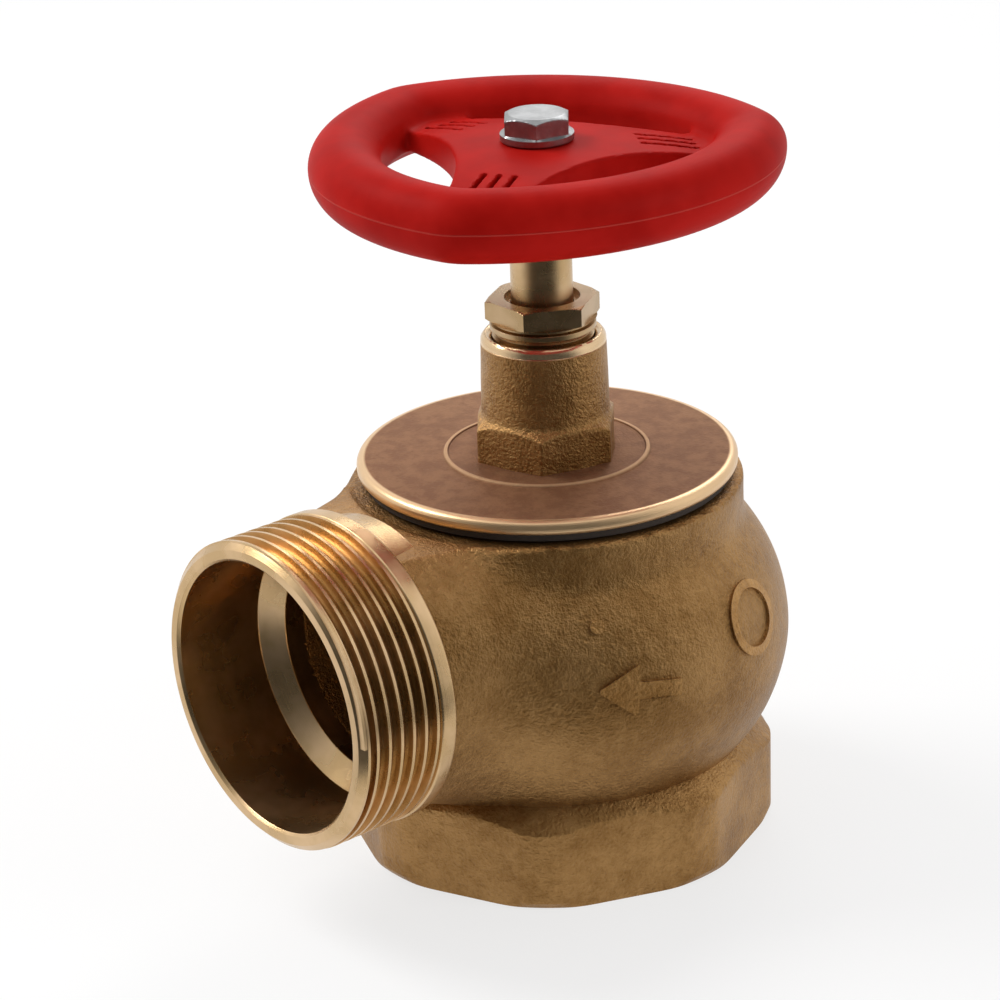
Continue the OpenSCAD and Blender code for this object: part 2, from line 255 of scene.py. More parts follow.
stage_lamp("key_lamp", (-0.55, -0.35, 0.75), size=0.45, watts=5)
stage_lamp("side_lamp", (0.75, 0.35, 0.45), size=0.5, watts=2.5)
stage_lamp("back_lamp", (-0.5, 0.65, 0.8), size=0.6, watts=3)


def stage_piece(name, mesh):
    piece = bpy.data.objects.new(name, mesh)
    scene.collection.objects.link(piece)
    return piece


floor_half, floor_glow = 3.0, 0.72
floor_mesh = bpy.data.meshes.new("studio_floor")
floor_mesh.from_pydata([(floor_half * across, floor_half * along, 0) for across, along in
                        ((-1, -1), (1, -1), (1, 1), (-1, 1))], [], [(0, 1, 2, 3)])
white_floor = Finish("white_floor")
paint = white_floor.node("ShaderNodeBsdfDiffuse", {}, {"Color": (0.92, 0.92, 0.92, 1)})
shine = white_floor.node("ShaderNodeEmission", {}, {"Color": WHITE, "Strength": 1.0})
floor_mix = white_floor.node("ShaderNodeMixShader", {},
                             {0: seen_or_mirrored(white_floor) * floor_glow, 1: paint, 2: shine})
floor_mesh.materials.append(white_floor.ends_in(floor_mix))
stage_piece("studio_floor", floor_mesh)

# Black flag, the card that a photographer of metal stands in front of it: a curved wall
# with an apron on the floor. Only shiny surfaces see it, as the dark band down their fronts.
flag_r, flag_height, flag_near, flag_lift = 0.46, 0.60, 0.11, 0.003
flag_half, flag_steps = math.radians(88), 48
flag_darkness, flag_clear, flag_full = 0.93, 0.12, 0.84
flag_rows = [(flag_near, flag_lift), (flag_r, flag_lift),
             (flag_r, flag_height / 2), (flag_r, flag_height)]
middle = math.atan2(FRONT.y, FRONT.x)
flag_spots = [(r * math.cos(a), r * math.sin(a), z) for r, z in flag_rows
              for a in [middle + flag_half * (2 * k / flag_steps - 1) for k in range(flag_steps + 1)]]
flag_row = flag_steps + 1
flag_faces = [(start + k, start + k + 1, start + flag_row + k + 1, start + flag_row + k)
              for start in range(0, (len(flag_rows) - 1) * flag_row, flag_row)
              for k in range(flag_steps)]
flag_mesh = bpy.data.meshes.new("studio_flag")
flag_mesh.from_pydata(flag_spots, [], flag_faces)
flag_cloth = Finish("flag_cloth")
x, y, z = flag_cloth.parts(flag_cloth.where())
facing = (x * FRONT.x + y * FRONT.y) * ((x * x + y * y) ** -0.5)
flag_light = 1.0 - flag_darkness * facing.between(flag_clear, flag_full)
flag_mesh.materials.append(flag_cloth.ends_in(
    flag_cloth.node("ShaderNodeEmission", {}, {"Color": WHITE, "Strength": flag_light})))
flag = stage_piece("studio_flag", flag_mesh)
flag.visible_camera = flag.visible_diffuse = flag.visible_shadow = flag.visible_transmission = False

# Body casting: one sand-cast brass shell with the bulb, the outlet's neck and the collar
# that takes the cover. Its skin is a distance field, so that all its corners have the
# soft fillets of a casting; inside are the chamber, the seat and the water ways.
MM = 0.001
outlet_z = frame["record"]["mounts"][1]["pos_m"][2] / MM
outlet_reach = -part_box("valve_body")[0].y / MM
body_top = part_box("bonnet_gasket")[0].z / MM
bulb_z, bulb_arc, bulb_core, cast_wall = 38.0, 30.5, 11.9, 4.5
foot_r, foot_low, foot_top = 34.4, 12, 21
collar_r, collar_low, cover_bore_r, cover_bore_low = 34.6, 50, 30.0, 56.4
neck_r, neck_near, neck_flare, flare_near, flare_run = 26.2, 19.4, 2.6, 18, 16
chamber_low, seat_r, seat_low, seat_z = 22, 24.5, 20, 25.5
throat_r, throat_low, throat_top, riser_r, riser_top = 20, 10, 30, 31, 17.6
port_r, port_near, port_far, port_roof = 20.15, 20, 43, 64.15
mouth_r, mouth_near, mouth_far = 23.4, 10, 23.6
past_top = 90


def blend(first, second, reach):
    """Union of two distance fields with a fillet of about that reach."""
    share = np.clip(0.5 + 0.5 * (second - first) / reach, 0, 1)
    return second + (first - second) * share - reach * share * (1 - share)


def carve(solid, hole, reach):
    return -blend(-solid, hole, reach)


def drum(r, along, radius, low, high):
    """Distance field of a cylinder, from its radius and its place along the axis."""
    return np.maximum(r - radius, np.maximum(low - along, along - high))


def casting_field(x, y, z):
    """The casting in millimetres: bulb, foot, collar and neck, less the ways for water."""
    r = np.hypot(x, y)
    bulb = np.hypot(np.maximum(r - bulb_core, 0), z - bulb_z)
    skin = blend(bulb - bulb_arc, drum(r, z, foot_r, foot_low, foot_top), 1.2)
    skin = blend(skin, drum(r, z, collar_r, collar_low, body_top), 1.1)
    from_face = outlet_reach + y
    r_out = np.hypot(x, z - outlet_z)
    neck = r_out - neck_r - neck_flare * (from_face - flare_near) / flare_run
    neck = np.maximum(neck, np.maximum(neck_near - from_face, y))
    skin = blend(skin, neck, 5.0)
    # Slight waviness of the sand mould, at most a tenth of a millimetre.
    skin = skin + 0.05 * np.sin(x / 2.9 + 1) * np.sin(y / 3.7 + z / 5.1)
    skin = skin + 0.04 * np.sin(z / 2.3 + x / 4.4)
    skin = np.maximum(skin, z - body_top)
    skin = carve(skin, drum(r, z, collar_r + 0.6, body_top - 0.4, past_top), 0.8)
    chamber = np.maximum(bulb - bulb_arc + cast_wall, chamber_low - z)
    port = np.maximum(drum(r_out, -y, port_r, port_near, port_far), z - port_roof)
    port = np.minimum(port, drum(r_out, from_face, mouth_r, mouth_near, mouth_far))
    hollow = carve(blend(chamber, port, 1.5), drum(r, z, seat_r, seat_low, seat_z), 0.6)
    for radius, low, high in ((throat_r, throat_low, throat_top), (riser_r, 0, riser_top),
                              (cover_bore_r, cover_bore_low, past_top)):
        hollow = np.minimum(hollow, drum(r, z, radius, low, high))
    return carve(skin, hollow, 0.5)


def skin_mesh(name, field, low, high, voxel):
    """Mesh of a distance field's zero surface, its points moved onto the true surface."""
    grid_axes = [np.arange(a, b + voxel, voxel, dtype=np.float32) for a, b in zip(low, high)]
    x, y, z = np.meshgrid(*grid_axes, indexing="ij", sparse=True)
    values = np.ascontiguousarray(field(x, y, z), dtype=np.float32)
    farthest = 10.0
    grid = openvdb.FloatGrid(farthest)
    grid.copyFromArray(np.clip(values, -farthest, farthest))
    verts, quads = grid.convertToQuads(0.0)
    verts = np.asarray(verts, float) * voxel + np.array([a[0] for a in grid_axes])
    step = voxel * 0.25
    for _ in range(3):
        here = field(*verts.T)
        slope = np.stack([field(*(verts + offset).T) - field(*(verts - offset).T)
                          for offset in np.eye(3) * step], 1) / (2 * step)
        move = slope * (here / np.maximum((slope ** 2).sum(1), 0.2))[:, None]
        verts -= np.clip(move, -0.5 * voxel, 0.5 * voxel)
    mesh = bpy.data.meshes.new(name)
    mesh.from_pydata(verts * MM, [], np.asarray(quads)[:, ::-1].tolist())
    return mesh


def add_piece(mesh, body, material, sharp=35.0, replaces=()):
    """Puts a finished mesh into the scene as a piece that rides on a body."""
    piece = bpy.data.objects.new(mesh.name, mesh)
    scene.collection.objects.link(piece)
    if mesh.materials:
        mesh.materials[0] = material
    else:
        mesh.materials.append(material)
    mesh.shade_smooth()
    mesh.set_sharp_from_angle(angle=math.radians(sharp))
    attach(piece, body)
    if replaces:
        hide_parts(*replaces)
    return piece


# Scales a colour by a light factor: painted light above 1, painted shade below 1, giving lit and shaded
# copies of one material.
def lit(colour, light):
    return [channel * light for channel in colour]


def cast_brass(name, light=1.0, turned_above=None):
    """Sand-cast brass: grain of about half a millimetre, faint stains and softer high spots;
    its colours are scaled by light, which paints light above 1 and shade below 1;
    above a height in millimetres it can be turned smooth."""
    hollow_brown, skin_brown = (0.235, 0.118, 0.034), (0.40, 0.225, 0.082)
    turned_yellow, turned_rough, border = (0.70, 0.50, 0.29), 0.2, 0.15
    brass = Finish(name)
    place = brass.where()
    grain = brass.noise(place, 0.00055, 3, 0.6)
    pits = brass.noise(place, 0.0016, 3, 0.55)
    stain = brass.noise(place, 0.016, 3, 0.6)
    shade = 0.55 * stain + 0.25 * pits + 0.2 * grain
    colour = brass.mixed(shade.between(0.36, 0.64), lit(hollow_brown, light), lit(skin_brown, light))
    relief, roughness = grain * 1.1 + pits * 0.7, 0.30 + 0.2 * pits
    if turned_above:
        height = brass.parts(place)[2]
        cast = 1 - height.between((turned_above - border) * MM, (turned_above + border) * MM)
        relief, roughness = relief * cast, turned_rough + (roughness - turned_rough) * cast
        colour = brass.mixed(cast, turned_yellow, colour)
    return brass.surface(Base_Color=colour, Metallic=0.92, Roughness=roughness,
                         Normal=brass.raised(relief, 0.00030))


body_mesh = skin_mesh("body_casting", casting_field, (-45, -50, 10), (45, 45, 72), 0.9)
body = add_piece(body_mesh, "valve", cast_brass("sand_cast_brass"), 50, ["valve_body"])

# Inlet socket: the foot of the same casting, milled to eight flats and turned at its
# corners, its shoulder and its mouth. It screws onto the riser, so it has a pipe thread.
socket_flats, socket_round, socket_top = 74.5, 39.2, 14.6
shoulder_r, shoulder_z, joint_r, joint_z = 35.0, 18.2, 33.4, 18.8
inlet_wall_r = 30.1


def eased(corners, pieces=6):
    """Closed profile whose corners (radius, along, rounding) are turned into arcs."""
    outline = []
    for index, corner in enumerate(corners):
        here = Vector(corner[:2])
        if len(corner) < 3:
            outline.append(tuple(here))
            continue
        before = (Vector(corners[index - 1][:2]) - here).normalized()
        after = (Vector(corners[(index + 1) % len(corners)][:2]) - here).normalized()
        half = before.angle(after) / 2
        middle = here + (before + after).normalized() * corner[2] / math.sin(half)
        start = here + before * corner[2] / math.tan(half) - middle
        end = here + after * corner[2] / math.tan(half) - middle
        for step in range(pieces + 1):
            spoke = start.slerp(end, step / pieces).normalized()
            outline.append(tuple(middle + spoke * corner[2]))
    return outline


def turned(name, outline, steps=360, limit=None, fine=None, place=None):
    """Mesh turned from a closed outline of (radius, along) in millimetres; limit gives the
    greatest radius at an angle, fine the longest step along the outline, and place maps the
    lathe's axis into space."""
    if fine:
        longer = []
        for first, second in zip(outline, outline[1:] + outline[:1]):
            count = max(1, math.ceil(math.dist(first, second) / fine))
            longer += [(first[0] + (second[0] - first[0]) * k / count,
                        first[1] + (second[1] - first[1]) * k / count) for k in range(count)]
        outline = longer
    angle = np.arange(steps) * 2 * math.pi / steps
    r = np.repeat(np.array([p[0] for p in outline])[:, None], steps, 1)
    along = np.repeat(np.array([p[1] for p in outline])[:, None], steps, 1)
    if limit is not None:
        r = np.maximum(0, np.where(r > 1, blend(r, limit(angle)[None, :], 0.5), r))
    spots = np.stack([r * np.cos(angle), r * np.sin(angle), along], -1)
    if place:
        spots = place(spots)
    rows = len(outline)
    faces = [(i * steps + j, i * steps + (j + 1) % steps,
              (i + 1) % rows * steps + (j + 1) % steps, (i + 1) % rows * steps + j)
             for i in range(rows) for j in range(steps)]
    work = bmesh.new()
    corners = [work.verts.new(spot) for spot in (spots.reshape(-1, 3) * MM).tolist()]
    for face in faces:
        work.faces.new([corners[k] for k in face])
    bmesh.ops.remove_doubles(work, verts=work.verts, dist=2e-6)
    bmesh.ops.recalc_face_normals(work, faces=work.faces)
    mesh = bpy.data.meshes.new(name)
    work.to_mesh(mesh)
    work.free()
    return mesh


def flats(across, count, first_corner):
    """Radius of a regular prism at each angle."""
    part = 2 * math.pi / count
    return lambda a: across / 2 / np.cos((a - math.radians(first_corner)) % part - part / 2)


socket_outline = eased([
    (30.4, 0, 0.3), (38.3, 0, 0.3), (socket_round, 1.3, 0.4), (socket_round, socket_top, 0.5),
    (shoulder_r, shoulder_z, 0.3), (joint_r, joint_z), (31.5, joint_z), (31.5, riser_top),
    (inlet_wall_r, riser_top), (inlet_wall_r, 1.0)])
# The socket's cast brass has painted light: its colours are scaled by 1.08.
socket = add_piece(turned("inlet_socket", socket_outline, limit=flats(socket_flats, 8, 0), fine=0.9),
                   "valve", cast_brass("milled_brass", light=1.08), 30)

# Marks raised in the casting: a plain arrow for the way of flow, a plain ring and a small
# round dot on the bulb, with painted light that makes them lighter than the skin.
# They carry no letters and no sign.
arrow_half_widths = [(-7.5, 1.5), (0.5, 1.5), (0.6, 4.6), (7.5, 0.3)]
arrow_turn = math.radians(184)
ring_outer_r, ring_inner_r, dot_r = 6.4, 5.5, 0.9
mark_height, mark_sink, mark_shoulder, mark_flare = 0.75, 0.5, 0.55, 0.35
# The marks' brass is the cast brass with its colours scaled by 1.3: painted light.
mark_brass_painted_light = cast_brass("mark_brass_painted_light", light=1.3)


def placed_at(point, carrier):
    """Place and facing on a finished piece that the camera sees at an image point."""
    across, down = point
    ray = axes.to_3x3() @ Vector((across - IMAGE_SIZE / 2 + camera_data.shift_x * IMAGE_SIZE,
                                  IMAGE_SIZE / 2 - down + camera_data.shift_y * IMAGE_SIZE,
                                  -IMAGE_SIZE * camera_data.lens / camera_data.sensor_width))
    ray.normalize()
    mesh = carrier.data
    tree = BVHTree.FromPolygons([v.co for v in mesh.vertices], [p.vertices for p in mesh.polygons])
    hit, facing, _, _ = tree.ray_cast(eye, ray)
    if hit is None:
        along = (mesh.vertices[0].co - eye).dot(ray)
        hit, facing, _, _ = tree.find_nearest(eye + ray * along)
    return tree, hit, facing


def laid_on_bulb(point):
    """Returns what lays a spot (right, up), in millimetres from an image point, on the bulb
    and lifts it off the skin."""
    tree, centre, facing = placed_at(point, body)
    right = (level_right - facing * level_right.dot(facing)).normalized()
    up = facing.cross(right)

    def lay(spot, lift):
        on, out, _, _ = tree.find_nearest(centre + (right * spot[0] + up * spot[1]) * MM)
        return on + out * lift * MM

    return lay


def add_mark(name, mesh):
    bmesh.ops.recalc_face_normals(mesh, faces=mesh.faces[:])
    data = bpy.data.meshes.new(name)
    mesh.to_mesh(data)
    mesh.free()
    return add_piece(data, "valve", mark_brass_painted_light, 40)


def raised_mark(name, point, rings):
    """A raised mark within one outline or between two, each with the way it spreads below."""
    lay = laid_on_bulb(point)
    mesh = bmesh.new()
    layers = []
    for spread, lift in ((mark_flare, -mark_sink), (mark_flare, mark_height * mark_shoulder),
                         (0.0, mark_height)):
        loops = []
        for ring, widen in rings:
            loop = []
            for k, here in enumerate(ring):
                way = (Vector(ring[(k + 1) % len(ring)]) - Vector(ring[k - 1])).normalized()
                spot = Vector(here) + Vector((way.y, -way.x)) * widen * spread
                loop.append(mesh.verts.new(lay(spot, lift)))
            loops.append(loop)
        layers.append(loops)
    for low, high in zip(layers, layers[1:]):
        for a, b in zip(low, high):
            for k in range(len(a)):
                mesh.faces.new((a[k - 1], a[k], b[k], b[k - 1]))
    top, under = layers[-1], layers[0]
    if len(rings) == 2:
        for k in range(len(top[0])):
            for a, b in (top, under):
                mesh.faces.new((a[k - 1], a[k], b[k], b[k - 1]))
    else:
        bmesh.ops.triangulate(mesh, faces=[mesh.faces.new(top[0]), mesh.faces.new(under[0])])
    return add_mark(name, mesh)


def round_ring(radius, steps=48):
    return [(radius * math.cos(2 * math.pi * k / steps), radius * math.sin(2 * math.pi * k / steps))
            for k in range(steps)]


def raised_arrow(name, point, stations, columns=8, step=0.7):
    """A raised arrow: half widths at stations along it, as a grid lifted off the bulb."""
    lay = laid_on_bulb(point)
    rows = [stations[0]] * 2
    for (near, near_width), (far, far_width) in zip(stations, stations[1:]):
        count = max(1, round((far - near) / step))
        rows += [(near + (far - near) * k / count, near_width + (far_width - near_width) * k / count)
                 for k in range(1, count + 1)]
    rows.append(rows[-1])
    mesh = bmesh.new()
    grid = []
    for r, (along, width) in enumerate(rows):
        line = []
        for c in range(columns + 3):
            across = min(max(2 * (c - 1) / columns - 1, -1), 1) * width
            on_rim = r in (0, len(rows) - 1) or c in (0, columns + 2)
            spot = (along * math.cos(arrow_turn) - across * math.sin(arrow_turn),
                    along * math.sin(arrow_turn) + across * math.cos(arrow_turn))
            line.append(mesh.verts.new(lay(spot, -mark_sink if on_rim else mark_height)))
        grid.append(line)
    for low, high in zip(grid, grid[1:]):
        for k in range(len(low) - 1):
            mesh.faces.new((low[k], high[k], high[k + 1], low[k + 1]))
    one_side, other_side = [line[0] for line in grid], [line[-1] for line in grid[-2::-1]]
    mesh.faces.new(one_side + grid[-1][1:] + other_side + grid[0][-2:0:-1])
    bmesh.ops.remove_doubles(mesh, verts=mesh.verts[:], dist=1e-7)
    return add_mark(name, mesh)


flow_arrow = raised_arrow("flow_arrow", points["flow_arrow"], arrow_half_widths)
ring_mark = raised_mark("ring_mark", points["ring_mark"],
                        [(round_ring(ring_outer_r), 1), (round_ring(ring_inner_r), -1)])
dot_mark = raised_mark("dot_mark", points["dot_mark"], [(round_ring(dot_r, 24), 1)])

# Inlet's pipe thread: cut on a lathe inside the socket, which screws onto the riser. One
# Geometry Nodes tree winds its ridge, and later those of the outlet and the spindle.
inlet_root, inlet_ridge, inlet_pitch, inlet_turns, inlet_start = 29.8, 1.8, 2.309, 6.2, 1.3
inlet_sunk = 0.35


def thread_tree():
    """Geometry nodes that wind a thread's ridge: a trapezium swept along a helix, faded out
    at both ends; the finished turns are one plain ridge that stands on the thread's core."""
    foot_share, crest_share, fade_rate, steps_a_turn = 0.98, 0.22, 2.5, 120
    tree = bpy.data.node_groups.new("thread_turns", "GeometryNodeTree")
    for name, kind in (("Core radius", "NodeSocketFloat"), ("Ridge", "NodeSocketFloat"),
                       ("Pitch", "NodeSocketFloat"), ("Turns", "NodeSocketFloat"),
                       ("Material", "NodeSocketMaterial")):
        tree.interface.new_socket(name, in_out="INPUT", socket_type=kind)
    tree.interface.new_socket("Geometry", in_out="OUTPUT", socket_type="NodeSocketGeometry")
    given = tree.nodes.new("NodeGroupInput")

    def put(kind, links, **settings):
        made = tree.nodes.new(kind)
        for key, value in settings.items():
            setattr(made, key, value)
        for key, value in links.items():
            if isinstance(value, bpy.types.NodeSocket):
                tree.links.new(value, made.inputs[key])
            else:
                made.inputs[key].default_value = value
        return made

    def sum_of(operation, first, second):
        return put("ShaderNodeMath", {0: first, 1: second}, operation=operation).outputs[0]

    core, ridge, pitch, turns, finish = given.outputs[:5]
    spiral = put("GeometryNodeCurveSpiral", {
        "Resolution": steps_a_turn, "Rotations": turns, "Start Radius": core, "End Radius": core,
        "Height": sum_of("MULTIPLY", pitch, turns)})
    level = put("GeometryNodeSetCurveNormal", {"Curve": spiral.outputs[0]}, mode="Z_UP")
    share = put("GeometryNodeSplineParameter", {}).outputs["Factor"]
    from_end = sum_of("MINIMUM", share, sum_of("SUBTRACT", 1.0, share))
    fade = sum_of("MINIMUM", sum_of("MULTIPLY", from_end, sum_of("MULTIPLY", turns, fade_rate)), 1.0)
    tapered = put("GeometryNodeSetCurveRadius", {"Curve": level.outputs[0], "Radius": fade})
    section = put("GeometryNodeCurvePrimitiveQuadrilateral", {
        "Height": ridge, "Bottom Width": sum_of("MULTIPLY", pitch, foot_share),
        "Top Width": sum_of("MULTIPLY", pitch, crest_share)}, mode="TRAPEZOID")
    lift = put("ShaderNodeCombineXYZ", {"Y": sum_of("MULTIPLY", ridge, 0.5)})
    stood = put("GeometryNodeTransform", {
        "Geometry": section.outputs[0], "Translation": lift.outputs[0]})
    outward = put("GeometryNodeTransform", {
        "Geometry": stood.outputs[0], "Rotation": (0, 0, math.pi / 2)})
    swept = put("GeometryNodeCurveToMesh", {
        "Curve": tapered.outputs[0], "Profile Curve": outward.outputs[0], "Fill Caps": True})
    plain = put("GeometryNodeRealizeInstances", {"Geometry": swept.outputs[0]})
    painted = put("GeometryNodeSetMaterial", {"Geometry": plain.outputs[0], "Material": finish})
    put("NodeGroupOutput", {0: painted.outputs[0]})
    return tree


thread_nodes = thread_tree()


def thread_mesh(name, core, ridge, pitch, turns, material, place):
    """Runs the thread tree for one thread, all in millimetres, and returns its plain mesh."""
    carrier = bpy.data.objects.new(name, bpy.data.meshes.new(name))
    scene.collection.objects.link(carrier)
    modifier = carrier.modifiers.new("thread", "NODES")
    modifier.node_group = thread_nodes
    sockets = {item.name: item.identifier for item in thread_nodes.interface.items_tree}
    for label, value in (("Core radius", core), ("Ridge", ridge), ("Pitch", pitch),
                         ("Turns", turns), ("Material", material)):
        modifier[sockets[label]] = value
    bpy.context.view_layer.update()
    mesh = bpy.data.meshes.new_from_object(carrier.evaluated_get(bpy.context.evaluated_depsgraph_get()))
    bpy.data.objects.remove(carrier)
    mesh.transform(Matrix.Scale(MM, 4))
    mesh.transform(place)
    mesh.name = name
    work = bmesh.new()
    work.from_mesh(mesh)
    bmesh.ops.recalc_face_normals(work, faces=work.faces)
    work.to_mesh(mesh)
    work.free()
    return mesh


def machined_brass(name, ring_place, light=1.0, fine_lines=0.00016):
    """Turned brass: fine tool rings round the lathe's axis, semi-bright, with faint stains; its colours
    are scaled by light, which paints light above 1 and shade below 1.
    """
    stained, bright = (0.54, 0.365, 0.18), (0.68, 0.47, 0.265)
    brass = Finish(name)
    place = brass.where()
    across, along = ring_place(*brass.parts(place))
    rings = brass.tool_rings(across, along, fine_lines)
    stain = brass.noise(place, 0.009, 3, 0.6)
    colour = brass.mixed(stain.between(0.35, 0.68), lit(stained, light), lit(bright, light))
    return brass.surface(Base_Color=colour, Metallic=1.0, Roughness=0.2 + 0.16 * stain,
                         Normal=brass.raised(rings, 0.00003))


def upright(x, y, z):
    return (x * x + y * y) ** 0.5, z


def along_outlet(x, y, z):
    return (x * x + (z - outlet_z * MM) * (z - outlet_z * MM)) ** 0.5, y


# The thread inside the socket has painted shade: its turned brass colours are scaled by 0.9.
socket_brass = machined_brass("socket_thread_brass", upright, light=0.9)
add_piece(thread_mesh("inlet_thread", inlet_root + inlet_sunk, -inlet_ridge, inlet_pitch, inlet_turns,
                      socket_brass, Matrix.Translation((0, 0, inlet_start * MM))),
          "valve", socket_brass, 30)

# Outlet end: the mouth of the casting, faced, bored and cut with the male pipe thread on
# a lathe; a cone inside narrows the bore to the port, and a smooth band ends the thread.
bore_r, bore_depth, face_r = 24.0, 17.1, 26.0
band_r, band_near, band_far = 27.6, 16.6, 19.6
hose_root, hose_crest, hose_pitch, hose_turns, hose_start = 25.8, 27.4, 2.54, 6.5, 1.5
hose_lead, hose_sunk, mouth_end = hose_crest - 0.2, 0.25, 26


def at_outlet(spots):
    """Lathe coordinates to the outlet's place; along runs inwards from the face."""
    return np.stack([spots[..., 0], spots[..., 2] - outlet_reach, outlet_z + spots[..., 1]], -1)


mouth_outline = eased([
    (bore_r, 0.5, 0.15), (bore_r + 0.5, 0, 0.2), (face_r, 0, 0.15), (hose_lead, 1.1, 0.1),
    (hose_lead, 1.6), (hose_root, 2.3), (hose_root, band_near - 0.3), (band_r, band_near, 0.35),
    (band_r, band_far, 0.6), (25.6, band_far + 0.6), (25.0, mouth_end), (port_r, mouth_end),
    (port_r, bore_depth + 3.1, 0.4), (bore_r, bore_depth, 0.2)])
outlet_brass = machined_brass("outlet_brass", along_outlet)
mouth = add_piece(turned("outlet_end", mouth_outline, place=at_outlet),
                  "valve", outlet_brass, 30)
outlet_turn = Matrix(((1, 0, 0, 0), (0, 0, 1, -(outlet_reach - hose_start) * MM),
                      (0, -1, 0, outlet_z * MM), (0, 0, 0, 1)))
add_piece(thread_mesh("outlet_thread", hose_root - hose_sunk, hose_crest - hose_root + hose_sunk,
                      hose_pitch, hose_turns, outlet_brass, outlet_turn),
          "valve", outlet_brass, 30)

# Cover: a cast brass disc that screws into the collar, turned bright at its edge, with a
# thin raised ring on top. Its hollow underside ends in the nut for the spindle's thread.
cover_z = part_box("bonnet_gasket")[1].z / MM
cover_r, cover_top, plateau_r, plateau_z = 33.65, 70.7, 18.1, 71.15
skirt_r, skirt_low, hollow_r, hollow_top = 29.95, 57.3, 26.5, 64.8
lift_nut_r, lift_nut_low, lift_nut_bore = 11.75, 54.5, 7.05
cover_outline = eased([
    (lift_nut_bore, cover_top + 0.2), (plateau_r - 0.75, cover_top + 0.2, 0.1),
    (plateau_r - 0.6, plateau_z, 0.1), (plateau_r, plateau_z, 0.1), (plateau_r + 0.3, cover_top, 0.2),
    (cover_r, cover_top, 1.2), (cover_r, cover_z, 1.1), (skirt_r, cover_z), (skirt_r, skirt_low, 0.4),
    (hollow_r, skirt_low, 0.4), (hollow_r, hollow_top, 2), (lift_nut_r, hollow_top, 1.5),
    (lift_nut_r, lift_nut_low, 0.6), (lift_nut_bore, lift_nut_low)])
dark_tarnish, light_tarnish = (0.215, 0.102, 0.050), (0.27, 0.138, 0.068)
ring_brass, edge_brass = (0.55, 0.36, 0.20), (0.72, 0.49, 0.27)
cover_brass = Finish("cover_brass")
spot = cover_brass.where()
across, height = upright(*cover_brass.parts(spot))
rings = cover_brass.tool_rings(across, height, 0.0002)
grain = cover_brass.noise(spot, 0.0006, 3, 0.6)
stain = cover_brass.noise(spot, 0.0035, 4, 0.7)
edge = across.between((cover_r - 1.7) * MM, (cover_r - 1.1) * MM)
off_ring = (across - (plateau_r - 0.2) * MM).maths("ABSOLUTE")
on_ring = 1 - off_ring.between(0.20 * MM, 0.45 * MM)
colour = cover_brass.mixed(stain.between(0.38, 0.62), dark_tarnish, light_tarnish)
colour = cover_brass.mixed(on_ring * 0.8, colour, ring_brass)
colour = cover_brass.mixed(edge, colour, edge_brass)
bump = cover_brass.raised(rings * 0.5 + grain * (1 - edge), 0.00009)
cover_finish = cover_brass.surface(Base_Color=colour, Metallic=0.8, Normal=bump,
                                   Roughness=0.62 - 0.36 * edge + 0.12 * grain)
cover = add_piece(turned("cover_disc", cover_outline), "valve", cover_finish,
                  replaces=["bonnet"])

# Neck of the cover: a six-sided boss for the spanner, left as cast, with the round neck
# above it, turned only at its mouth, which the gland nut screws into.
boss_flats, boss_low, boss_top, boss_turn, boss_edge_r = 23.3, 69.5, 77.7, -45, 12.2
round_r, round_low, neck_top, round_edge_r = 11.35, 70, 92.9, 10.3
gland_bore_r, gland_bore_low = 9.05, 88.5
neck_bores = ((8.0, 79, 120), (5.5, 60, 120), (7.0, 60, 77.5))


def trimmed(solid, limit, reach):
    """What of a solid lies within a limit, with its new edges eased."""
    return -blend(-solid, -limit, reach)


def neck_field(x, y, z):
    """The boss and the round neck in millimetres, less the bores for nut, packing and spindle."""
    r = np.hypot(x, y)
    a = np.arctan2(y, x)
    side = flats(boss_flats, 6, boss_turn)(a)
    boss = (r - side) * np.cos((a - math.radians(boss_turn)) % (math.pi / 3) - math.pi / 6)
    boss = trimmed(boss, (r + (z - boss_top) * 1.3 - boss_edge_r) * 0.6, 0.25)
    boss = trimmed(boss, np.maximum(z - boss_top, boss_low - z), 0.3)
    neck = r - round_r + 0.4 * (z - 77) / 16
    neck = trimmed(neck, (r + (z - neck_top) * 0.8 - round_edge_r) * 0.78, 0.3)
    neck = np.maximum(neck, np.maximum(z - neck_top, round_low - z))
    whole = blend(boss, neck, 1.5)
    whole = whole + 0.025 * np.sin(x * 1.1 + 1) * np.sin(y * 0.9 + z * 0.7)
    lead_in = r - gland_bore_r - (z - neck_top + 0.7) * 1.2
    whole = carve(whole, np.minimum(drum(r, z, gland_bore_r, gland_bore_low, 120), lead_in), 0.2)
    return np.maximum(whole, -np.minimum.reduce([drum(r, z, *bore) for bore in neck_bores]))


# The cover's neck has a little painted light: its cast brass colours are scaled by 1.05.
neck_brass = cast_brass("neck_brass", light=1.05, turned_above=neck_top - 1.7)
add_piece(skin_mesh("cover_neck", neck_field, (-14.5, -14.5, 68.6), (14.5, 14.5, 93.6), 0.3),
          "valve", neck_brass, 45)

